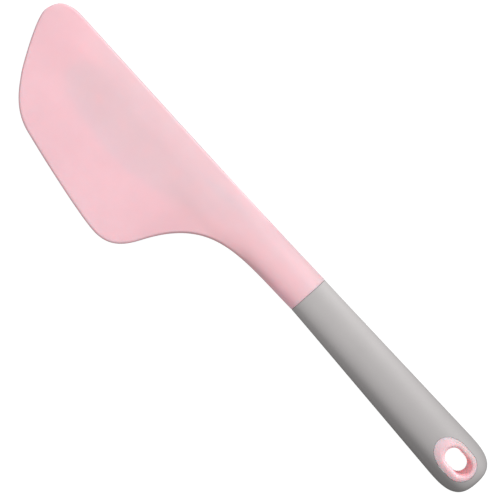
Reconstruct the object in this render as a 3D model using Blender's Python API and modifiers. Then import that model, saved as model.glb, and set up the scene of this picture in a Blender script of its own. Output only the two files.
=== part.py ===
"""Offset spatula: a silicone blade moulded over a stiff core, in a soft-grip handle with a hanging eye.

The shapes are designed about the handle's narrow end: X along the handle's centre line towards the blade's
tip, Y towards the side that the blade is offset to, Z up through the blade's faces. An empty then moves
them so that the origin is at the middle of the object's base.
"""

from math import cos, hypot, pi, radians, sin

import bmesh
import bpy
import numpy as np

MM = 0.001

# Driving dimensions, in millimetres
TIP = (192.8, 3.9)  # foremost point of the blade
HANDLE_END = 127.2  # from the origin to the end of the grip
SEAM = -1.1  # along X, where the silicone neck meets the grip
GAP = 0.3  # clearance between neighbouring pieces

# Outline anchors: x, y, heading in degrees, length of the Bezier handle before and after
OFFSET_EDGE = [
    (SEAM, 11.1, 2.6, 0.0, 37.5),
    (74.85, 44.2, 66.1, 38.4, 11.8),
    (93.9, 59.0, 1.2, 8.7, 8.6),
    (152.9, 50.6, -10.9, 20.6, 13.6),
    (177.6, 32.8, -50.5, 7.8, 1.5),
    (*TIP, -90.0, 6.4, 0.0),
]
STRAIGHT_EDGE = [
    (SEAM, -11.2, 1.75, 0.0, 61.0),
    (178.0, -8.45, 0.6, 60.0, 11.0),
    (*TIP, 90.0, 7.5, 0.0),
]

NECK_HEIGHT = 13.8  # thickness of the neck at the seam
NECK_WIDTH = (22.3, 28.3)  # of its ridge, at the seam and where it melts away
NECK_END_HEIGHT = 2.9  # thickness of the ridge where it melts away
NECK_END_SQUARENESS = 2.8  # exponent of the ridge's section there
NECK_FADE = (SEAM, 76.0)  # along X, where the neck's ridge melts into the blade
BLADE_THICKNESS = 4.8  # over the core
EDGE_THICKNESS = 2.8  # of the flexible border
EDGE_RADIUS = 1.2
BLEND = 5.0  # the higher, the tighter the hollow between ridge and blade
STRAIGHT_BORDER = (-12.0, 6.0)  # along Y, where the blade grows thick behind its straight edge
OFFSET_BORDER = (18.0, 56.0)  # along Y, where it thins again towards the bulging edge
TIP_BORDER = (158.0, 192.0)  # along X, where it thins towards the tip

CORE_THICKNESS = 1.6
CORE_OUTLINE = [  # x, y of the plate's Bezier points, anticlockwise from the neck
    (14.0, -4.6),
    (56.0, -3.6),
    (84.0, 0.4),
    (140.0, 1.0),
    (155.0, 3.5),
    (162.0, 12.0),
    (155.0, 21.0),
    (140.0, 24.5),
    (106.0, 25.0),
    (82.0, 18.5),
    (56.0, 8.0),
    (14.0, 4.6),
]
KEY_HOLES = [(88.0, 9.5), (106.0, 12.5), (124.0, 12.5), (142.0, 12.5)]
KEY_HOLE_RADIUS = 3.2
TANG = (-62.0, 30.0)  # along X
TANG_WIDTH = 10.4
TANG_HEIGHT = 4.0
TANG_ROUNDING = 1.6

GRIP_HALF_WIDTH = (10.95, 13.8)  # of its straight flare, at the origin and at the widest
GRIP_BEND = 0.06  # how softly the flare starts, as a share of its length
GRIP_HEIGHT = (NECK_HEIGHT, 20.5)
GRIP_WIDEST = 108.4  # from the origin
REST_HEIGHT = 10.08  # of the centre plane: half the grip's height where the eyelet's lip starts
GRIP_SKIN = 2.2  # thickness of the soft layer
HANDLE_CORE_END = 120.5
CAVITY_START = 2.0  # in front of the seam, so that the grip is open there
HANDLE_SQUARENESS = (2.4, 2.15)  # exponent of the grip's oval section, at the seam and at the widest
HANDLE_END_SQUARENESS = 3.0  # exponent of the rounded end, seen from above
HANDLE_END_DROP = 3.0  # the same, seen from the side

EYE_RADIUS = 8.25  # half the width of the eyelet's outline, and the radius of its round end
EYE_CENTRES = (-108.6, -113.95)  # along X, of the outline's two ends
EYE_FRONT = 11.3  # length of its half-oval end, nearer the blade
HOLE_RADIUS = 4.5
HOLE_CENTRES = (-108.7, -114.9)
HOLE_SHIFT = -0.4  # along Y
LIP_RADIUS = 2.2  # rounding of the eyelet's mouth
LIP_FACETS = 6
CUTTER_REACH = 12.0  # above and below the centre plane, past the handle's faces

HEAD_STATIONS = 50
HEAD_AROUND = 16  # facets across each face
GRIP_STATIONS = 26
GRIP_AROUND = 32


def clear_scene():
    for item in list(bpy.data.objects):
        bpy.data.objects.remove(item, do_unlink=True)


def collection(name):
    made = bpy.data.collections.new(name)
    bpy.context.scene.collection.children.link(made)
    return made


def material(name, colour, roughness, metallic=0.0):
    made = bpy.data.materials.new(name)
    made.use_nodes = True
    shader = made.node_tree.nodes["Principled BSDF"]
    shader.inputs["Base Color"].default_value = (*colour, 1.0)
    shader.inputs["Roughness"].default_value = roughness
    shader.inputs["Metallic"].default_value = metallic
    return made


def add_object(name, mesh, group):
    made = bpy.data.objects.new(name, mesh)
    group.objects.link(made)
    return made


# Curves and fields that the shapes are computed from


def bezier_chain(anchors, steps=40):
    """Points, in millimetres, along the curve through the anchors."""
    t = np.linspace(0.0, 1.0, steps)[:, None]
    runs = []
    for start, end in zip(anchors[:-1], anchors[1:]):
        a = np.array(start[:2])
        d = np.array(end[:2])
        b = a + start[4] * np.array([cos(radians(start[2])), sin(radians(start[2]))])
        c = d - end[3] * np.array([cos(radians(end[2])), sin(radians(end[2]))])
        run = (1 - t) ** 3 * a + 3 * (1 - t) ** 2 * t * b + 3 * (1 - t) * t**2 * c + t**3 * d
        runs.append(run if not runs else run[1:])
    return np.vstack(runs)


def smooth_step(value, low, high):
    t = np.clip((value - low) / (high - low), 0.0, 1.0)
    return t * t * (3.0 - 2.0 * t)


def distance_to(line, x, y):
    """Distance from each point to a polyline."""
    start = line[:-1]
    run = line[1:] - start
    offset = np.stack([x, y], -1)[:, None, :] - start[None]
    along = np.clip((offset * run).sum(-1) / (run**2).sum(-1), 0.0, 1.0)
    return np.hypot(*np.moveaxis(offset - along[..., None] * run, -1, 0)).min(1)


OFFSET_LINE = bezier_chain(OFFSET_EDGE)
STRAIGHT_LINE = bezier_chain(STRAIGHT_EDGE)
OUTLINE = np.vstack([OFFSET_LINE, STRAIGHT_LINE[::-1][1:]])


def head_half_height(x, y):
    """Half the head's thickness at one station's points: a flat blade with a thin border, and the neck."""
    to_edge = distance_to(OUTLINE, x, y)
    over_core = (
        smooth_step(y, *STRAIGHT_BORDER)
        * (1.0 - smooth_step(y, *OFFSET_BORDER))
        * (1.0 - smooth_step(x, *TIP_BORDER))
    )
    thickness = EDGE_THICKNESS + (BLADE_THICKNESS - EDGE_THICKNESS) * over_core
    rounding = np.sqrt(1.0 - (1.0 - np.clip(to_edge / EDGE_RADIUS, 0.0, 1.0)) ** 2)
    blade = thickness / 2.0 * rounding

    fade = smooth_step(x, *NECK_FADE)
    height = NECK_HEIGHT * (1.0 - fade) + NECK_END_HEIGHT * fade
    low = np.interp(x, STRAIGHT_LINE[:, 0], STRAIGHT_LINE[:, 1])
    high = np.interp(x, OFFSET_LINE[:, 0], OFFSET_LINE[:, 1])
    width = np.minimum(high - low, NECK_WIDTH[0] * (1.0 - fade) + NECK_WIDTH[1] * fade)
    power = HANDLE_SQUARENESS[0] * (1.0 - fade) + NECK_END_SQUARENESS * fade
    across = np.clip((y - low - width / 2.0) / (width / 2.0), -1.0, 1.0)
    rise = np.maximum(1.0 - np.abs(across) ** power, 0.0) ** (1.0 / power)
    neck = height / 2.0 * rise
    return (blade**BLEND + neck**BLEND) ** (1.0 / BLEND)


def handle_half_width(x, inset=0.0):
    low, high = GRIP_HALF_WIDTH
    return low + (high - low) * hypot(x / GRIP_WIDEST, GRIP_BEND) - inset


def handle_half_height(x, inset=0.0):
    low, high = GRIP_HEIGHT
    return (low + (high - low) * (-x / GRIP_WIDEST)) / 2.0 - inset


def handle_squareness(x):
    low, high = HANDLE_SQUARENESS
    return low + (high - low) * min(max(-x / GRIP_WIDEST, 0.0), 1.0)


# Mesh building


def loft(name, rings, group, end_pole=None):
    """A closed skin over rings of equal numbers of points, in millimetres, ending flat or at a pole."""
    bm = bmesh.new()
    rows = [[bm.verts.new([value * MM for value in point]) for point in ring] for ring in rings]
    count = len(rows[0])
    for row, following in zip(rows[:-1], rows[1:]):
        for i in range(count):
            j = (i + 1) % count
            bm.faces.new((row[i], row[j], following[j], following[i]))
    bm.faces.new(rows[0])
    if end_pole is None:
        bm.faces.new(rows[-1])
    else:
        tip = bm.verts.new([value * MM for value in end_pole])
        for i in range(count):
            bm.faces.new((rows[-1][i], rows[-1][(i + 1) % count], tip))
    bmesh.ops.recalc_face_normals(bm, faces=bm.faces)
    mesh = bpy.data.meshes.new(name)
    bm.to_mesh(mesh)
    bm.free()
    mesh.shade_smooth()
    mesh.set_sharp_from_angle(angle=radians(40.0))
    return add_object(name, mesh, group)


def head_rings():
    """Sections of the head from the seam to the tip, closer together where the outline turns."""
    steps = np.hypot(*np.diff(OFFSET_LINE, axis=0).T)
    length = np.concatenate([[0.0], np.cumsum(steps)])
    share = 1.0 - (1.0 - np.arange(HEAD_STATIONS) / HEAD_STATIONS) ** 1.35
    stations = np.interp(share * length[-1], length, OFFSET_LINE[:, 0])
    stations[0] = SEAM + GAP / 2.0
    widest = OFFSET_LINE[OFFSET_LINE[:, 1].argmax(), 0]
    stations[np.abs(stations - widest).argmin()] = widest
    rings = []
    for x in stations:
        low = np.interp(x, STRAIGHT_LINE[:, 0], STRAIGHT_LINE[:, 1])
        high = np.interp(x, OFFSET_LINE[:, 0], OFFSET_LINE[:, 1])
        angle = pi * np.arange(HEAD_AROUND + 1) / HEAD_AROUND
        y = (low + high) / 2.0 + (high - low) / 2.0 * np.cos(angle)
        z = head_half_height(np.full_like(y, x), y)
        z[0] = z[-1] = 0.0
        upper = [(x, y[i], z[i]) for i in range(HEAD_AROUND + 1)]
        lower = [(x, y[i], -z[i]) for i in range(HEAD_AROUND - 1, 0, -1)]
        rings.append(upper + lower)
    return rings


def oval(x, half_width, half_height, count):
    """A section of the handle: an oval slightly squarer than an ellipse."""
    power = 2.0 / handle_squareness(x)
    ring = []
    for i in range(count):
        angle = 2.0 * pi * i / count
        y = abs(cos(angle)) ** power * half_width
        z = abs(sin(angle)) ** power * half_height
        ring.append((x, y if cos(angle) >= 0 else -y, z if sin(angle) >= 0 else -z))
    return ring


def handle_rings(end, inset, start, count=GRIP_AROUND, stations=GRIP_STATIONS):
    """Sections from the seam to near the rounded end, which starts one widest radius before it."""
    turn = GRIP_WIDEST - (HANDLE_END - end)
    straight = np.linspace(start, -turn, stations // 2, endpoint=False)
    rings = [
        oval(x, handle_half_width(min(x, 0.0), inset), handle_half_height(min(x, 0.0), inset), count)
        for x in straight
    ]
    for step in range(stations // 2):
        reach = sin(pi / 2.0 * step / (stations // 2))
        x = -turn - (end - turn) * reach
        shrink = (1.0 - reach**HANDLE_END_SQUARENESS) ** (1.0 / HANDLE_END_SQUARENESS)
        half_width = handle_half_width(-turn, inset) * shrink
        drop = (1.0 - reach**HANDLE_END_DROP) ** (1.0 / HANDLE_END_DROP)
        half_height = handle_half_height(-turn, inset) * drop
        rings.append(oval(x, half_width, half_height, count))
    return rings


def handle_form(name, end, inset, start, group):
    return loft(name, handle_rings(end, inset, start), group, end_pole=(-end, 0.0, 0.0))


def slot(radius, centres, z, front_length, shift=0.0, per_end=12):
    """An outline at height z: a half oval and a half circle joined by straight sides."""
    ring = []
    ends = ((centres[0], -pi / 2.0, front_length), (centres[1], pi / 2.0, radius))
    for centre, first, length in ends:
        for i in range(per_end + 1):
            angle = first + pi * i / per_end
            ring.append((centre + length * cos(angle), shift + radius * sin(angle), z))
    return ring


def eye_outline(z, clearance=0.0):
    return slot(EYE_RADIUS + clearance, EYE_CENTRES, z, EYE_FRONT + clearance)


def hole_outline(radius, z):
    return slot(radius, HOLE_CENTRES, z, radius, HOLE_SHIFT)


def boolean(target, cutter, operation):
    modifier = target.modifiers.new(f"{operation.lower()} {cutter.name}", "BOOLEAN")
    modifier.object = cutter
    modifier.operation = operation
    modifier.solver = "EXACT"


def core_form(name, group, clearance=0.0):
    """The stiffener's flat plate. Clearance grows it on every side."""
    curve = bpy.data.curves.new(name + "_outline", "CURVE")
    curve.dimensions = "2D"
    curve.fill_mode = "BOTH"
    curve.extrude = (CORE_THICKNESS / 2.0 + clearance) * MM
    curve.resolution_u = 6
    outline = curve.splines.new("BEZIER")
    outline.bezier_points.add(len(CORE_OUTLINE) - 1)
    corners = np.array(CORE_OUTLINE)
    along = np.roll(corners, -1, axis=0) - np.roll(corners, 1, axis=0)
    outward = np.stack([along[:, 1], -along[:, 0]], -1) / np.hypot(*along.T)[:, None]
    for point, (x, y) in zip(outline.bezier_points, corners + clearance * outward):
        point.co = (x * MM, y * MM, 0.0)
        point.handle_left_type = point.handle_right_type = "AUTO"
    outline.use_cyclic_u = True
    source = add_object(name + "_outline", curve, group)
    evaluated = source.evaluated_get(bpy.context.evaluated_depsgraph_get())
    mesh = bpy.data.meshes.new_from_object(evaluated)
    bpy.data.objects.remove(source, do_unlink=True)
    bm = bmesh.new()
    bm.from_mesh(mesh)
    bmesh.ops.remove_doubles(bm, verts=bm.verts, dist=0.00001)
    bmesh.ops.recalc_face_normals(bm, faces=bm.faces)
    bm.to_mesh(mesh)
    bm.free()
    mesh.name = name
    return add_object(name, mesh, group)


def tang_form(name, group, clearance=0.0):
    bm = bmesh.new()
    bmesh.ops.create_cube(bm, size=1.0)
    size = (TANG[1] - TANG[0], TANG_WIDTH, TANG_HEIGHT)
    for vert in bm.verts:
        vert.co = [vert.co[i] * (size[i] + 2.0 * clearance) * MM for i in range(3)]
    mesh = bpy.data.meshes.new(name)
    bm.to_mesh(mesh)
    bm.free()
    made = add_object(name, mesh, group)
    made.location = ((TANG[0] + TANG[1]) / 2.0 * MM, 0.0, 0.0)
    bevel = made.modifiers.new("rounded edges", "BEVEL")
    bevel.width = (TANG_ROUNDING + clearance) * MM
    bevel.segments = 3
    return made


def key_pegs(name, group, radius, height):
    """The round pegs that fill the stiffener's keying holes, as one object."""
    bm = bmesh.new()
    for x, y in KEY_HOLES:
        made = bmesh.ops.create_cone(
            bm,
            cap_ends=True,
            segments=20,
            radius1=radius * MM,
            radius2=radius * MM,
            depth=height * MM,
        )
        bmesh.ops.translate(bm, verts=made["verts"], vec=(x * MM, y * MM, 0.0))
    mesh = bpy.data.meshes.new(name)
    bm.to_mesh(mesh)
    bm.free()
    return add_object(name, mesh, group)


# Pieces


def make_core_plate(parts, cutters):
    plate = core_form("core_plate", parts)
    boolean(plate, tang_form("tang", cutters), "UNION")
    boolean(plate, key_pegs("key_holes", cutters, KEY_HOLE_RADIUS, 10.0), "DIFFERENCE")
    plate.data.materials.append(material("stiff_nylon", (0.78, 0.76, 0.72), 0.5))
    return plate


def make_silicone_head(parts, cutters):
    head = loft("silicone_head", head_rings(), parts, end_pole=(*TIP, 0.0))
    pocket = core_form("core_pocket", cutters, GAP)
    boolean(pocket, key_pegs("silicone_keys", cutters, KEY_HOLE_RADIUS - GAP, 10.0), "DIFFERENCE")
    boolean(head, pocket, "DIFFERENCE")
    boolean(head, tang_form("tang_pocket", cutters, GAP), "DIFFERENCE")
    head.data.materials.append(material("pink_silicone", (0.87, 0.58, 0.62), 0.48))
    return head


def make_handle_core(parts, cutters):
    core = handle_form("handle_core", HANDLE_CORE_END, GRIP_SKIN + GAP, SEAM - GAP / 2.0, parts)
    boolean(core, cutters.objects["tang_pocket"], "DIFFERENCE")
    recess = loft("eye_recess", [eye_outline(z, GAP) for z in (-CUTTER_REACH, CUTTER_REACH)], cutters)
    boolean(core, recess, "DIFFERENCE")
    core.data.materials.append(material("pink_plastic", (0.84, 0.55, 0.6), 0.45))
    return core


def make_soft_grip(parts, cutters):
    grip = handle_form("soft_grip", HANDLE_END, 0.0, SEAM - GAP / 2.0, parts)
    cavity = handle_form("grip_cavity", HANDLE_CORE_END + GAP, GRIP_SKIN, CAVITY_START, cutters)
    boolean(grip, cavity, "DIFFERENCE")
    boolean(grip, cutters.objects["eye_recess"], "DIFFERENCE")
    grip.data.materials.append(material("grey_soft_grip", (0.46, 0.44, 0.43), 0.62))
    return grip


def make_hanging_eye(parts, cutters):
    eye = loft("hanging_eye", [eye_outline(z) for z in (-CUTTER_REACH, CUTTER_REACH)], parts)
    boolean(eye, handle_form("handle_envelope", HANDLE_END, 0.0, SEAM - GAP / 2.0, cutters), "INTERSECT")
    surface = GRIP_HEIGHT[1] / 2.0
    flare = []
    for side in (-1.0, 1.0):
        for step in range(LIP_FACETS + 1):
            angle = pi / 2.0 * (LIP_FACETS - step if side < 0 else step) / LIP_FACETS
            radius = HOLE_RADIUS + LIP_RADIUS * (1.0 - cos(angle))
            z = side * (surface - LIP_RADIUS * (1.0 - sin(angle)))
            flare.append(hole_outline(radius, z))
    widest = HOLE_RADIUS + LIP_RADIUS
    flare = [hole_outline(widest, -CUTTER_REACH), *flare, hole_outline(widest, CUTTER_REACH)]
    boolean(eye, loft("eye_hole", flare, cutters), "DIFFERENCE")
    eye.data.materials.append(material("pink_eyelet", (0.86, 0.57, 0.61), 0.45))
    return eye


def main():
    clear_scene()
    parts = collection("offset_spatula")
    cutters = collection("cutters")
    base = bpy.data.objects.new("base_centre", None)
    parts.objects.link(base)
    highest = OFFSET_LINE[:, 1].max()
    lowest = -handle_half_width(-GRIP_WIDEST)
    base.location = (
        (HANDLE_END - TIP[0]) / 2.0 * MM,
        -(highest + lowest) / 2.0 * MM,
        REST_HEIGHT * MM,
    )
    make_core_plate(parts, cutters)
    make_silicone_head(parts, cutters)
    make_handle_core(parts, cutters)
    make_soft_grip(parts, cutters)
    make_hanging_eye(parts, cutters)
    for item in [*parts.objects, *cutters.objects]:
        if item != base:
            item.parent = base
    for item in cutters.objects:
        item.hide_render = True
        item.display_type = "WIRE"


main()
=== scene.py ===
"""Looks of the offset spatula: fine surfaces, materials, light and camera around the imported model."""

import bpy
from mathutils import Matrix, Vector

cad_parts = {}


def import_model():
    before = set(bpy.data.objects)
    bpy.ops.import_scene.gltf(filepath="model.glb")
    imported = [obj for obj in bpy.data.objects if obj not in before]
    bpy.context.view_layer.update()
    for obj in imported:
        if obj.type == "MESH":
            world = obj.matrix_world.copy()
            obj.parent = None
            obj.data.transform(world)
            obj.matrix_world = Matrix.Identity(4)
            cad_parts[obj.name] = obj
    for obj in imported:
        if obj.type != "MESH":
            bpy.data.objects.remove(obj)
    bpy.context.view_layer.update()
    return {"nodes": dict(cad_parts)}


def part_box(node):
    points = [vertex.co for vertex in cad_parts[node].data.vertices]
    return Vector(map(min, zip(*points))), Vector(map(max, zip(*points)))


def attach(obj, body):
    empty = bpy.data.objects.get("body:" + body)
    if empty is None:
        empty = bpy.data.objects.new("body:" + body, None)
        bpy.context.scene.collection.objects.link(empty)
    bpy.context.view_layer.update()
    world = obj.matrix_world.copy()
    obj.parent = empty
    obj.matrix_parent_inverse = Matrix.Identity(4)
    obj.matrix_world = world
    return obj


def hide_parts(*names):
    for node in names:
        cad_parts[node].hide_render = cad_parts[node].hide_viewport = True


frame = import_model()

from math import cos, hypot, pi, radians, sin

import bmesh
import bpy
import numpy as np
from mathutils import Matrix

MM = 0.001
X, Y, Z = range(3)

# The design's origin in the frame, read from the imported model: on the handle's centre line, half way up
GRIP_LOW, GRIP_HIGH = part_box("soft_grip")
SEAM = -1.1  # along X, where the silicone neck meets the grip
CAD_GAP = 0.3
ORIGIN = np.array(
    [
        GRIP_HIGH.x / MM + CAD_GAP / 2.0 - SEAM,
        (GRIP_LOW.y + GRIP_HIGH.y) / 2.0 / MM,
        (GRIP_LOW.z + GRIP_HIGH.z) / 2.0 / MM,
    ]
)

# Sizes in millimetres, from the design's origin, as the CAD model has them
TIP = (192.8, 3.9)
HANDLE_END = 127.2
OFFSET_EDGE = [  # x, y, heading in degrees, Bezier handle before and after
    (SEAM, 11.1, 2.6, 0.0, 37.5),
    (74.85, 44.2, 66.1, 38.4, 11.8),
    (93.9, 59.0, 1.2, 8.7, 8.6),
    (152.9, 50.6, -10.9, 20.6, 13.6),
    (177.6, 32.8, -50.5, 7.8, 1.5),
    (*TIP, -90.0, 6.4, 0.0),
]
STRAIGHT_EDGE = [
    (SEAM, -11.2, 1.75, 0.0, 61.0),
    (178.0, -8.45, 0.6, 60.0, 11.0),
    (*TIP, 90.0, 7.5, 0.0),
]
NECK_HEIGHT = 13.8
NECK_WIDTH = (22.3, 28.3)
NECK_END_HEIGHT = 2.9
NECK_END_SQUARENESS = 2.8
NECK_FADE = (SEAM, 76.0)
BLADE_THICKNESS = 4.8
EDGE_THICKNESS = 2.8
EDGE_RADIUS = 1.2
BLEND = 5.0
STRAIGHT_BORDER = (-12.0, 6.0)  # along Y
OFFSET_BORDER = (18.0, 56.0)
TIP_BORDER = (158.0, 192.0)  # along X
GRIP_HALF_WIDTH = (10.95, 13.8)
GRIP_BEND = 0.06
GRIP_HEIGHT = (NECK_HEIGHT, 20.5)
GRIP_WIDEST = 108.4
GRIP_SKIN = 2.2
CAVITY_START = 2.0
HANDLE_CORE_END = 120.5
HANDLE_SQUARENESS = (2.4, 2.15)
HANDLE_END_SQUARENESS = 3.0
HANDLE_END_DROP = 3.0
EYE_RADIUS = 8.25
EYE_CENTRES = (-108.6, -113.95)
EYE_FRONT = 11.3
HOLE_RADIUS = 4.5
HOLE_CENTRES = (-108.7, -114.9)
HOLE_SHIFT = -0.4
LIP_RADIUS = 2.2
CUTTER_REACH = 12.0

# Finish of the fine surfaces, in millimetres
SEAM_GAP = 0.12  # what shows between two moulded pieces
SEAM_ROUNDING = 0.25
ROUNDING_STEPS = 4
HEAD_STATIONS = 260
HEAD_CROWDING = 1.35  # above 1, the stations draw closer together towards the tip
HEAD_AROUND = 72
GRIP_STATIONS = 70  # on the straight part, and as many again round the end
GRIP_AROUND = 128
EYE_AROUND = 96
EYE_FACE = np.linspace(0.0, 0.8, 10)  # shares of the way from the eyelet's rim to its hole
EYE_LIP = np.sin(np.linspace(0.93, pi / 2.0, 12))
EYE_WALL_STEPS = 14
EYE_SIDE_STEPS = 10
SHARP_ANGLE = 35.0
GRIP_SHARP_ANGLE = 30.0

# Where the tints and the painted light and shade change, in millimetres from the design's origin
STRAIGHT_SHEEN_BORDER = (-4.0, 3.0)  # along Y, between the painted sheen by the straight edge and the core's zone
BULGE_TINT = (12.0, 29.5)  # along Y, between the core's zone and the bulge's; the bulge's pinker tone is its own where no core lies under it, begun early as painted light over the sloping border
FRONT_TINT = (145.0, 179.0)  # along X, between the core's zone and the front's
FLANK_PAINT_CHANGE = (10.0, 30.0)  # along X, between the flanks' painted light and shade at the seam and further on
FLANK_PAINT_FADE = (30.0, 60.0)  # along X, where that painted light and shade fades out
LIT_FLANK_SHADE_BAND = (-10.0, -4.0)  # along Y, of the painted shade on the neck's lit flank
# along Y, of the painted light and shade on the neck's shaded flank
SHADED_FLANK_PAINT_BAND = (4.0, 10.0)
BEND_START = (38.0, 52.0)  # along X, of the painted shade on the flank where the neck widens into the bulge
BEND_END = (68.0, 92.0)
BEND_FLANK = (8.0, 16.0)  # along Y
BEND_SHADE = 0.09  # share of the painted shade there
RIM_HEIGHT = (0.9, 1.38)  # from the centre plane, of the painted shade on the straight edge's lit rounding
RIM_SIDE = (-8.0, -7.0)  # along Y
RIM_START = (62.0, 80.0)  # along X
RIM_SHADE = 0.35
GRIP_LOW_SIDE = (-13.0, -6.0)  # along Y, where painted shade darkens the grip's lit side
# along Y, where painted shade darkens the grip's shaded side
GRIP_HIGH_SIDE = (5.0, 11.0)
GRIP_LOW_SHADE = 0.22  # of painted shade on the lit side, at the handle's end, where it is strongest
GRIP_HIGH_SHADE = 0.34
# along Y, where painted shade darkens the eyelet's lit side
EYE_LOW_SIDE = (-7.5, -4.0)
EYE_FAR_END = (-119.5, -116.0)  # along X
EYE_WALL_HEIGHT = (7.0, 9.0)  # from the centre plane, where the hole's wall turns into the lip and the painted shade inside the hole fades out
EYE_FAR_END_LIFT = 0.8  # how much higher that is at the far end

# Camera, straight above
IMAGE_CENTRE = (34.9, 6.85)  # from the design's origin, where the camera looks
HANDLE_TURN = radians(180.0 + 48.3)  # of the image's right from the handle's direction
CAMERA_HEIGHT = 780.0
FIELD = 250.2  # what the picture's width takes in at the centre plane
SENSOR = 36.0

# Light, in metres and watts
KEY_PLACE = (0.0, -1.27, 0.92)
KEY_SIZE = 0.4
KEY_POWER = 22.2
BOUNCE_HEIGHT = 0.0004  # of a small lamp below the hanging hole, for what a table throws back up
BOUNCE_SIZE = 0.009
BOUNCE_POWER = 0.00046
SKY = ((0.3, 0.04), (0.42, 0.6), (0.55, 0.6), (0.62, 0.582))  # brightness against height, 0.5 the horizon
FLOOR_HALF_SIZE = 4.0
FLOOR_GLOW = 0.98


# Curves and fields


def bezier_chain(anchors, steps=120):
    t = np.linspace(0.0, 1.0, steps)[:, None]
    runs = []
    for start, end in zip(anchors[:-1], anchors[1:]):
        a = np.array(start[:2])
        d = np.array(end[:2])
        b = a + start[4] * np.array([cos(radians(start[2])), sin(radians(start[2]))])
        c = d - end[3] * np.array([cos(radians(end[2])), sin(radians(end[2]))])
        run = (1 - t) ** 3 * a + 3 * (1 - t) ** 2 * t * b + 3 * (1 - t) * t**2 * c + t**3 * d
        runs.append(run if not runs else run[1:])
    return np.vstack(runs)


def smooth_step(value, low, high):
    t = np.clip((value - low) / (high - low), 0.0, 1.0)
    return t * t * (3.0 - 2.0 * t)


def distance_to(line, x, y):
    start = line[:-1]
    run = line[1:] - start
    offset = np.stack([x, y], -1)[:, None, :] - start[None]
    along = np.clip((offset * run).sum(-1) / (run**2).sum(-1), 0.0, 1.0)
    return np.hypot(*np.moveaxis(offset - along[..., None] * run, -1, 0)).min(1)


OFFSET_LINE = bezier_chain(OFFSET_EDGE)
STRAIGHT_LINE = bezier_chain(STRAIGHT_EDGE)
OUTLINE = np.vstack([OFFSET_LINE, STRAIGHT_LINE[::-1][1:]])


def edges_at(x):
    """The head's straight edge and its offset edge, along Y."""
    low = np.interp(x, STRAIGHT_LINE[:, 0], STRAIGHT_LINE[:, 1])
    high = np.interp(x, OFFSET_LINE[:, 0], OFFSET_LINE[:, 1])
    return low, high


def head_half_height(x, y):
    """The flat blade, thicker over the core, joined smoothly to the neck that flattens out into it."""
    to_edge = distance_to(OUTLINE, x, y)
    over_core = (
        smooth_step(y, *STRAIGHT_BORDER)
        * (1.0 - smooth_step(y, *OFFSET_BORDER))
        * (1.0 - smooth_step(x, *TIP_BORDER))
    )
    thickness = EDGE_THICKNESS + (BLADE_THICKNESS - EDGE_THICKNESS) * over_core
    rounding = np.sqrt(1.0 - (1.0 - np.clip(to_edge / EDGE_RADIUS, 0.0, 1.0)) ** 2)
    blade = thickness / 2.0 * rounding

    fade = smooth_step(x, *NECK_FADE)
    height = NECK_HEIGHT * (1.0 - fade) + NECK_END_HEIGHT * fade
    low, high = edges_at(x)
    width = np.minimum(high - low, NECK_WIDTH[0] * (1.0 - fade) + NECK_WIDTH[1] * fade)
    power = HANDLE_SQUARENESS[0] * (1.0 - fade) + NECK_END_SQUARENESS * fade
    across = np.clip((y - low - width / 2.0) / (width / 2.0), -1.0, 1.0)
    rise = np.maximum(1.0 - np.abs(across) ** power, 0.0) ** (1.0 / power)
    neck = height / 2.0 * rise
    return (blade**BLEND + neck**BLEND) ** (1.0 / BLEND)


def handle_half_width(x, inset=0.0):
    low, high = GRIP_HALF_WIDTH
    return low + (high - low) * hypot(x / GRIP_WIDEST, GRIP_BEND) - inset


def handle_half_height(x, inset=0.0):
    low, high = GRIP_HEIGHT
    return (low + (high - low) * (-x / GRIP_WIDEST)) / 2.0 - inset


def handle_squareness(x):
    low, high = HANDLE_SQUARENESS
    return low + (high - low) * min(max(-x / GRIP_WIDEST, 0.0), 1.0)


def closing(reach, squareness):
    """1 where the handle's end starts to close in, 0 at its very end."""
    return (1.0 - reach**squareness) ** (1.0 / squareness)


def handle_surface(x, y):
    """Height of the handle's upper face above its centre plane."""
    turn = GRIP_WIDEST
    if x >= -turn:
        half_width, half_height = handle_half_width(x), handle_half_height(x)
    else:
        reach = min((-x - turn) / (HANDLE_END - turn), 1.0)
        half_width = handle_half_width(-turn) * closing(reach, HANDLE_END_SQUARENESS)
        half_height = handle_half_height(-turn) * closing(reach, HANDLE_END_DROP)
    across = min(abs(y) / half_width, 1.0)
    power = handle_squareness(x)
    return half_height * (1.0 - across**power) ** (1.0 / power)


# Mesh building


def add_object(name, bm):
    mesh = bpy.data.meshes.new(name)
    bm.to_mesh(mesh)
    bm.free()
    mesh.shade_smooth()
    mesh.set_sharp_from_angle(angle=radians(SHARP_ANGLE))
    made = bpy.data.objects.new(name, mesh)
    bpy.context.scene.collection.objects.link(made)
    return made


def world(point):
    """A point in the frame, in metres, from one in millimetres from the design's origin."""
    return (np.array(point) + ORIGIN) * MM


def join_rings(bm, rings, back_to_first=False):
    """Faces between each ring and the next. Returns the rings' vertices."""
    rows = [[bm.verts.new(world(point)) for point in ring] for ring in rings]
    following_rows = rows[1:] + rows[:1] if back_to_first else rows[1:]
    for row, following in zip(rows, following_rows):
        for i in range(len(row)):
            j = (i + 1) % len(row)
            bm.faces.new((row[i], row[j], following[j], following[i]))
    return rows


def loft(name, rings, end_pole=None):
    """A closed skin over rings of equal numbers of points, ending in a flat face or in a pole."""
    bm = bmesh.new()
    rows = join_rings(bm, rings)
    bm.faces.new(rows[0])
    last = rows[-1]
    if end_pole is None:
        bm.faces.new(last)
    else:
        tip = bm.verts.new(world(end_pole))
        for i in range(len(last)):
            bm.faces.new((last[i], last[(i + 1) % len(last)], tip))
    bmesh.ops.recalc_face_normals(bm, faces=bm.faces)
    return add_object(name, bm)


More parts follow.
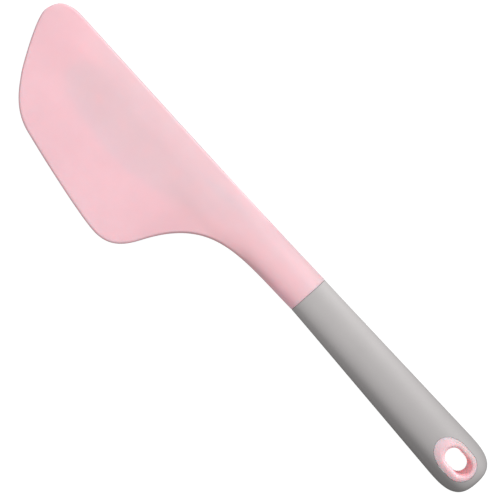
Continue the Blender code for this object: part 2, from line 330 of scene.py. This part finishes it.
def cut(target, cutter):
    """Cuts one closed mesh out of another at once, and removes the cutter."""
    modifier = target.modifiers.new("cut", "BOOLEAN")
    modifier.object = cutter
    modifier.operation = "DIFFERENCE"
    modifier.solver = "EXACT"
    evaluated = target.evaluated_get(bpy.context.evaluated_depsgraph_get())
    mesh = bpy.data.meshes.new_from_object(evaluated)
    target.modifiers.clear()
    target.data = mesh
    bpy.data.objects.remove(cutter, do_unlink=True)


def grown_copy(node, growth):
    """A CAD node's shape grown along its normals, to cut its place in a neighbour."""
    mesh = frame["nodes"][node].data.copy()
    bm = bmesh.new()
    bm.from_mesh(mesh)
    bmesh.ops.remove_doubles(bm, verts=bm.verts, dist=0.001 * MM)
    bm.normal_update()
    moved = [(vert, vert.co + vert.normal * growth * MM) for vert in bm.verts]
    for vert, place in moved:
        vert.co = place
    return add_object("cutter_" + node, bm)


def seam_rounded(rings):
    """The first ring of a loft, drawn in over a small radius where the piece meets its neighbour."""
    first = rings[0]
    centre = np.mean(np.array(first), axis=0)
    direction = np.sign(rings[-1][0][0] - first[0][0])
    made = []
    for step in range(ROUNDING_STEPS):
        angle = pi / 2.0 * step / ROUNDING_STEPS
        inward = SEAM_ROUNDING * (1.0 - sin(angle))
        along = direction * SEAM_ROUNDING * (1.0 - cos(angle))
        ring = []
        for point in first:
            place = np.array(point)
            arm = place - centre
            ring.append(place - arm / np.linalg.norm(arm) * inward + np.array([along, 0.0, 0.0]))
        made.append(ring)
    return made


def head_rings():
    steps = np.hypot(*np.diff(OFFSET_LINE, axis=0).T)
    length = np.concatenate([[0.0], np.cumsum(steps)])
    share = 1.0 - (1.0 - np.arange(HEAD_STATIONS) / HEAD_STATIONS) ** HEAD_CROWDING
    stations = np.interp(share * length[-1], length, OFFSET_LINE[:, 0])
    stations[0] = SEAM + SEAM_GAP / 2.0
    rings = []
    angle = pi * np.arange(HEAD_AROUND + 1) / HEAD_AROUND
    for x in stations:
        low, high = edges_at(x)
        y = (low + high) / 2.0 + (high - low) / 2.0 * np.cos(angle)
        z = head_half_height(np.full_like(y, x), y)
        z[0] = z[-1] = 0.0
        upper = [(x, y[i], z[i]) for i in range(HEAD_AROUND + 1)]
        lower = [(x, y[i], -z[i]) for i in range(HEAD_AROUND - 1, 0, -1)]
        rings.append(upper + lower)
    return seam_rounded(rings) + rings[1:]


def oval(x, half_width, half_height):
    angle = 2.0 * pi * np.arange(GRIP_AROUND) / GRIP_AROUND
    power = 2.0 / handle_squareness(x)
    y = np.sign(np.cos(angle)) * np.abs(np.cos(angle)) ** power * half_width
    z = np.sign(np.sin(angle)) * np.abs(np.sin(angle)) ** power * half_height
    return [(x, y[i], z[i]) for i in range(GRIP_AROUND)]


def handle_rings(end, inset, start):
    turn = GRIP_WIDEST - (HANDLE_END - end)
    rings = []
    for x in np.linspace(start, -turn, GRIP_STATIONS, endpoint=False):
        at = min(x, 0.0)
        rings.append(oval(x, handle_half_width(at, inset), handle_half_height(at, inset)))
    for step in range(GRIP_STATIONS):
        reach = sin(pi / 2.0 * step / GRIP_STATIONS)
        half_width = handle_half_width(-turn, inset) * closing(reach, HANDLE_END_SQUARENESS)
        half_height = handle_half_height(-turn, inset) * closing(reach, HANDLE_END_DROP)
        rings.append(oval(-turn - (end - turn) * reach, half_width, half_height))
    return rings


def slot(radius, centres, z, front_length, shift=0.0):
    """A half oval and a half circle joined by straight sides."""
    ring = []
    per_end = EYE_AROUND // 2
    for centre, first, length in ((centres[0], -pi / 2.0, front_length), (centres[1], pi / 2.0, radius)):
        for i in range(per_end):
            angle = first + pi * i / (per_end - 1)
            ring.append((centre + length * cos(angle), shift + radius * sin(angle), z))
    return ring


def eye_outline(z, clearance=0.0):
    return slot(EYE_RADIUS + clearance, EYE_CENTRES, z, EYE_FRONT + clearance)


# Materials


class Nodes:
    """A material's node tree, with short calls for the nodes used here."""

    def __init__(self, name, roughness):
        self.material = bpy.data.materials.new(name)
        self.material.use_nodes = True
        self.tree = self.material.node_tree
        self.shader = self.tree.nodes["Principled BSDF"]
        self.shader.inputs["Roughness"].default_value = roughness
        coordinates = self.tree.nodes.new("ShaderNodeTexCoord")
        self.place = coordinates.outputs["Object"]

    def link(self, output, target):
        self.tree.links.new(output, target)

    def noise(self, scale, detail=3.0, stretch=(1.0, 1.0, 1.0)):
        mapping = self.tree.nodes.new("ShaderNodeMapping")
        mapping.inputs["Scale"].default_value = stretch
        self.link(self.place, mapping.inputs["Vector"])
        made = self.tree.nodes.new("ShaderNodeTexNoise")
        made.inputs["Scale"].default_value = scale
        made.inputs["Detail"].default_value = detail
        self.link(mapping.outputs["Vector"], made.inputs["Vector"])
        return made.outputs["Fac"]

    def remap(self, value, low, high, to_low, to_high, smooth=False):
        made = self.tree.nodes.new("ShaderNodeMapRange")
        made.interpolation_type = "SMOOTHSTEP" if smooth else "LINEAR"
        for name, number in (("From Min", low), ("From Max", high), ("To Min", to_low), ("To Max", to_high)):
            made.inputs[name].default_value = number
        self.link(value, made.inputs["Value"])
        return made.outputs["Result"]

    def math(self, operation, a, b):
        made = self.tree.nodes.new("ShaderNodeMath")
        made.operation = operation
        for value, socket in ((a, made.inputs[0]), (b, made.inputs[1])):
            if isinstance(value, float):
                socket.default_value = value
            else:
                self.link(value, socket)
        return made.outputs["Value"]

    def product(self, *values):
        result = values[0]
        for value in values[1:]:
            result = self.math("MULTIPLY", result, value)
        return result

    def mix(self, factor, first, second):
        made = self.tree.nodes.new("ShaderNodeMix")
        made.data_type = "RGBA"
        self.link(factor, made.inputs["Factor"])
        for value, socket in ((first, made.inputs["A"]), (second, made.inputs["B"])):
            if isinstance(value, tuple):
                socket.default_value = (*value, 1.0)
            else:
                self.link(value, socket)
        return made.outputs["Result"]

    def axis(self, index):
        made = self.tree.nodes.new("ShaderNodeSeparateXYZ")
        self.link(self.place, made.inputs["Vector"])
        return made.outputs[index]

    def fade(self, index, borders, first=0.0, last=1.0, smooth=True):
        """Goes from first to last between two places on an axis, in millimetres from the design's origin."""
        low, high = ((border + ORIGIN[index]) * MM for border in borders)
        return self.remap(self.axis(index), low, high, first, last, smooth)

    def from_centre_plane(self):
        """Distance up or down from the centre plane, in metres."""
        return self.math("ABSOLUTE", self.math("SUBTRACT", self.axis(Z), float(ORIGIN[Z] * MM)), 0.0)

    def bump(self, height, strength, distance, below=None):
        made = self.tree.nodes.new("ShaderNodeBump")
        made.inputs["Strength"].default_value = strength
        made.inputs["Distance"].default_value = distance
        self.link(height, made.inputs["Height"])
        if below is not None:
            self.link(below, made.inputs["Normal"])
        self.link(made.outputs["Normal"], self.shader.inputs["Normal"])
        return made.outputs["Normal"]

    def soften(self, specular, weight, scale, radius):
        """Dull reflections, and light that passes a little way through."""
        self.shader.inputs["Specular IOR Level"].default_value = specular
        self.shader.inputs["Subsurface Weight"].default_value = weight
        self.shader.inputs["Subsurface Scale"].default_value = scale
        self.shader.inputs["Subsurface Radius"].default_value = radius

    def finish(self, colour, roughness):
        self.link(colour, self.shader.inputs["Base Color"])
        self.link(roughness, self.shader.inputs["Roughness"])
        return self.material


def silicone_tint_and_painted_light(nodes):
    """The pink of each zone: over the core, at the front and on the bulge, with painted sheen by the straight
    edge and painted light and shade on the neck's flanks, the bend and the straight edge's rim.
    """
    core = (0.848, 0.524, 0.562)
    # paler, greyer pink by the straight edge: painted sheen of its lit slope
    straight_edge_painted_sheen = (0.785, 0.534, 0.572)
    front = (0.858, 0.524, 0.574)
    bulge = (0.905, 0.552, 0.604)
    tint = nodes.mix(nodes.fade(Y, STRAIGHT_SHEEN_BORDER, 1.0, 0.0), core, straight_edge_painted_sheen)
    tint = nodes.mix(nodes.fade(X, FRONT_TINT), tint, front)
    # bulge: its own pinker tone without the core, begun early as painted light against the shade of the
    # sloping border
    tint = nodes.mix(nodes.fade(Y, BULGE_TINT), tint, bulge)

    # painted shade on the neck's lit flank, and on its shaded flank painted light at the seam turning to
    # painted shade further on
    neck_flank_paint_share = nodes.fade(X, FLANK_PAINT_FADE, 1.0, 0.0)
    flank_paint_along = nodes.fade(X, FLANK_PAINT_CHANGE, smooth=False)
    lit_flank_painted_shade = nodes.mix(flank_paint_along, (0.600, 0.430, 0.455), (0.620, 0.412, 0.448))
    shaded_flank_painted_light_and_shade = nodes.mix(flank_paint_along, (0.980, 0.556, 0.624), (0.815, 0.490, 0.526))
    tint = nodes.mix(nodes.product(neck_flank_paint_share, nodes.fade(Y, LIT_FLANK_SHADE_BAND, 1.0, 0.0)), tint, lit_flank_painted_shade)
    tint = nodes.mix(nodes.product(neck_flank_paint_share, nodes.fade(Y, SHADED_FLANK_PAINT_BAND)), tint, shaded_flank_painted_light_and_shade)

    # painted shade on the sloping flank where the neck widens into the bulge
    bend_shade_fade = nodes.fade(X, BEND_END, BEND_SHADE, 0.0)
    bend_painted_shade = nodes.product(nodes.fade(X, BEND_START), bend_shade_fade, nodes.fade(Y, BEND_FLANK))
    tint = nodes.mix(bend_painted_shade, tint, (0.0, 0.0, 0.0))
    # painted shade on the straight edge's lit rounding, damping its highlight
    low, high = (height * MM for height in RIM_HEIGHT)
    rim = nodes.remap(nodes.from_centre_plane(), low, high, RIM_SHADE, 0.0, smooth=True)
    rim_shade_side = nodes.fade(Y, RIM_SIDE, 1.0, 0.0, smooth=False)
    rim_shade_on_blade = nodes.fade(X, RIM_START, smooth=False)
    return nodes.mix(nodes.product(rim, rim_shade_side, rim_shade_on_blade), tint, (0.10, 0.07, 0.075))


def silicone():
    """Satin pink silicone, a little duller where the stiff core lies under it."""
    nodes = Nodes("satin_pink_silicone", 0.6)
    nodes.soften(0.25, 0.4, 0.006, (1.0, 0.35, 0.3))
    mottle = nodes.remap(nodes.noise(60.0), 0.35, 0.65, 0.0, 0.15)
    colour = nodes.mix(mottle, silicone_tint_and_painted_light(nodes), (0.700, 0.430, 0.470))
    rough = nodes.remap(nodes.noise(2600.0, 1.0), 0.3, 0.7, 0.56, 0.66)
    swell = nodes.bump(nodes.noise(120.0, 1.0), 0.06, 0.0004)
    nodes.bump(nodes.noise(1800.0, 2.0), 0.10, 0.00006, swell)
    return nodes.finish(colour, rough)


def soft_touch():
    """Grey soft-touch rubber with a fine stipple, darker towards the end, with painted shade on its two sides
    there.
    """
    nodes = Nodes("grey_soft_touch", 0.62)
    nodes.shader.inputs["Specular IOR Level"].default_value = 0.25
    mottle = nodes.remap(nodes.noise(90.0), 0.35, 0.65, 0.0, 1.0)
    grey = nodes.mix(mottle, (0.430, 0.411, 0.408), (0.418, 0.400, 0.397))
    towards_end = nodes.fade(X, (0.0, -HANDLE_END), smooth=False)
    colour = nodes.mix(towards_end, grey, (0.378, 0.361, 0.360))
    # painted shade on the grip's lit and shaded sides, strongest towards the end
    lit_side_painted_shade = nodes.fade(Y, GRIP_LOW_SIDE, GRIP_LOW_SHADE, 0.0)
    shaded_side_painted_shade = nodes.fade(Y, GRIP_HIGH_SIDE, 0.0, GRIP_HIGH_SHADE)
    sides = nodes.math("ADD", lit_side_painted_shade, shaded_side_painted_shade)
    colour = nodes.mix(nodes.product(sides, towards_end), colour, (0.05, 0.05, 0.05))
    rough = nodes.remap(nodes.noise(1500.0, 1.0), 0.3, 0.7, 0.56, 0.68)
    nodes.bump(nodes.noise(2400.0, 2.0), 0.16, 0.00006)
    return nodes.finish(colour, rough)


def eyelet():
    """Smooth moulded pink of the hanging eye, with painted shade on its lit side and a deeper red painted
    inside the hole for the shade and red glow there.
    """
    nodes = Nodes("satin_pink_eyelet", 0.5)
    nodes.soften(0.3, 0.6, 0.008, (1.0, 0.3, 0.25))
    mottle = nodes.remap(nodes.noise(150.0), 0.35, 0.65, 0.0, 1.0)
    outside = nodes.mix(mottle, (0.83, 0.568, 0.606), (0.815, 0.556, 0.594))
    # painted shade on the eyelet's lit side
    outside = nodes.mix(nodes.fade(Y, EYE_LOW_SIDE, 1.0, 0.0), outside, (0.67, 0.466, 0.472))
    # deeper red painted on the hole's wall for its shade and the red glow of light through the silicone
    lift = nodes.fade(X, EYE_FAR_END, EYE_FAR_END_LIFT * MM, 0.0, smooth=False)
    height = nodes.math("SUBTRACT", nodes.from_centre_plane(), lift)
    low, high = (border * MM for border in EYE_WALL_HEIGHT)
    hole_wall_painted_shade = nodes.remap(height, low, high, 1.0, 0.0, smooth=True)
    colour = nodes.mix(hole_wall_painted_shade, outside, (0.90, 0.42, 0.46))
    rough = nodes.remap(nodes.noise(1500.0, 1.0), 0.3, 0.7, 0.46, 0.54)
    nodes.bump(nodes.noise(1500.0, 2.0), 0.08, 0.00005)
    return nodes.finish(colour, rough)


def moulded_plastic(name, colour, darker):
    """Plain moulded plastic of the hidden cores, with faint flow marks."""
    nodes = Nodes(name, 0.5)
    flow = nodes.remap(nodes.noise(40.0, 2.0, (0.3, 1.0, 1.0)), 0.35, 0.65, 0.0, 1.0)
    mixed = nodes.mix(flow, colour, darker)
    rough = nodes.remap(nodes.noise(900.0, 1.0), 0.3, 0.7, 0.44, 0.56)
    nodes.bump(nodes.noise(700.0, 2.0), 0.1, 0.0001)
    return nodes.finish(mixed, rough)


# Pieces


def show(piece, node, material):
    piece.data.materials.clear()
    piece.data.materials.append(material)
    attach(piece, "root")
    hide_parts(node)


def make_head():
    head = loft("fine_silicone_head", head_rings(), (*TIP, 0.0))
    cut(head, grown_copy("core_plate", CAD_GAP))
    show(head, "silicone_head", silicone())


def make_grip():
    """The sleeve, hollow for the handle core and with a window for the eyelet."""
    rings = handle_rings(HANDLE_END, 0.0, SEAM - SEAM_GAP / 2.0)
    grip = loft("fine_soft_grip", seam_rounded(rings) + rings[1:], (-HANDLE_END, 0.0, 0.0))
    cavity_end = HANDLE_CORE_END + CAD_GAP
    cut(grip, loft("cavity", handle_rings(cavity_end, GRIP_SKIN, CAVITY_START), (-cavity_end, 0.0, 0.0)))
    cut(grip, loft("window", [eye_outline(z, SEAM_GAP) for z in (-CUTTER_REACH, CUTTER_REACH)]))
    grip.data.shade_smooth()
    grip.data.set_sharp_from_angle(angle=radians(GRIP_SHARP_ANGLE))
    show(grip, "soft_grip", soft_touch())


def make_eye():
    """The eyelet: flush with the grip at its rim, rounded over into a straight-walled slot."""
    outer = np.array(eye_outline(0.0))
    inner = np.array(slot(HOLE_RADIUS, HOLE_CENTRES, 0.0, HOLE_RADIUS, HOLE_SHIFT))
    upper = []
    for share in [*EYE_FACE, *EYE_LIP]:
        ring = []
        for rim, mouth in zip(outer, inner):
            x, y, _ = rim + (mouth - rim) * share
            to_wall = np.hypot(*(mouth - rim)[:2]) * (1.0 - share)
            drop = 0.0
            if to_wall < LIP_RADIUS:
                drop = LIP_RADIUS - (LIP_RADIUS**2 - (LIP_RADIUS - to_wall) ** 2) ** 0.5
            ring.append((x, y, handle_surface(x, y) - drop))
        upper.append(ring)
    rings = list(upper)
    for share in np.linspace(1.0, -1.0, EYE_WALL_STEPS)[1:-1]:
        rings.append([(x, y, z * share) for x, y, z in upper[-1]])
    rings += [[(x, y, -z) for x, y, z in ring] for ring in reversed(upper)]
    for share in np.linspace(-1.0, 1.0, EYE_SIDE_STEPS)[1:-1]:
        rings.append([(x, y, z * share) for x, y, z in upper[0]])
    bm = bmesh.new()
    join_rings(bm, rings, back_to_first=True)
    bmesh.ops.recalc_face_normals(bm, faces=bm.faces)
    show(add_object("fine_hanging_eye", bm), "hanging_eye", eyelet())


def dress_hidden_cores():
    for node, material in (
        ("core_plate", moulded_plastic("natural_nylon", (0.74, 0.71, 0.66), (0.70, 0.67, 0.61))),
        ("handle_core", moulded_plastic("pink_inner_plastic", (0.78, 0.49, 0.54), (0.74, 0.46, 0.51))),
    ):
        materials = frame["nodes"][node].data.materials
        materials.clear()
        materials.append(material)


# Floor, light and camera


def make_floor():
    """A pale floor that gives its own even light to the picture and none to the object."""
    bm = bmesh.new()
    bmesh.ops.create_grid(bm, x_segments=1, y_segments=1, size=FLOOR_HALF_SIZE)
    floor = add_object("floor", bm)
    nodes = Nodes("pale_floor", 0.9)
    nodes.shader.inputs["Base Color"].default_value = (0.1, 0.1, 0.1, 1.0)
    nodes.shader.inputs["Emission Color"].default_value = (1.0, 1.0, 1.0, 1.0)
    nodes.shader.inputs["Emission Strength"].default_value = FLOOR_GLOW
    floor.data.materials.append(nodes.material)
    floor.visible_diffuse = False
    floor.visible_glossy = False


def area_light(name, place, target, size, power):
    data = bpy.data.lights.new(name, "AREA")
    data.shape = "DISK"
    data.size = size
    data.energy = power
    light = bpy.data.objects.new(name, data)
    bpy.context.scene.collection.objects.link(light)
    place, target = np.array(place), np.array(target)
    away = place - target
    back = away / np.linalg.norm(away)
    side = np.cross((0.0, 1.0, 0.001), back)
    side /= np.linalg.norm(side)
    up = np.cross(back, side)
    light.matrix_world = Matrix(
        [[side[i], up[i], back[i], place[i]] for i in range(3)] + [[0.0, 0.0, 0.0, 1.0]]
    )
    return light


def make_light():
    area_light("key", KEY_PLACE, (0.0, 0.0, 0.0), KEY_SIZE, KEY_POWER)
    x, y, _ = world((sum(HOLE_CENTRES) / 2.0, HOLE_SHIFT, 0.0))
    bounce = area_light("bounce_in_hole", (x, y, BOUNCE_HEIGHT), (x, y, 1.0), BOUNCE_SIZE, BOUNCE_POWER)
    bounce.visible_camera = False


def make_sky():
    """An even white sky that darkens below the horizon."""
    sky = bpy.data.worlds.new("studio")
    bpy.context.scene.world = sky
    sky.use_nodes = True
    tree = sky.node_tree
    coordinates = tree.nodes.new("ShaderNodeTexCoord")
    split = tree.nodes.new("ShaderNodeSeparateXYZ")
    height = tree.nodes.new("ShaderNodeMapRange")
    height.inputs["From Min"].default_value = -1.0
    ramp = tree.nodes.new("ShaderNodeValToRGB")
    stops = ramp.color_ramp.elements
    for place, strength in SKY:
        stops.new(place).color = (strength, strength, strength, 1.0)
    stops.remove(stops[0])
    stops.remove(stops[-1])
    background = tree.nodes["Background"]
    background.inputs["Color"].default_value = (1.0, 1.0, 1.0, 1.0)
    tree.links.new(coordinates.outputs["Generated"], split.inputs["Vector"])
    tree.links.new(split.outputs["Z"], height.inputs["Value"])
    tree.links.new(height.outputs["Result"], ramp.inputs["Fac"])
    tree.links.new(ramp.outputs["Color"], background.inputs["Strength"])
    bpy.context.scene.view_settings.view_transform = "Standard"


def make_camera():
    data = bpy.data.cameras.new("camera")
    data.sensor_width = SENSOR
    data.lens = SENSOR * CAMERA_HEIGHT / FIELD
    data.clip_start = 0.01
    camera = bpy.data.objects.new("camera", data)
    bpy.context.scene.collection.objects.link(camera)
    place = world((*IMAGE_CENTRE, CAMERA_HEIGHT))
    camera.matrix_world = Matrix.Translation(place) @ Matrix.Rotation(HANDLE_TURN, 4, "Z")
    bpy.context.scene.camera = camera


make_camera()
make_head()
make_grip()
make_eye()
dress_hidden_cores()
make_floor()
make_light()
make_sky()
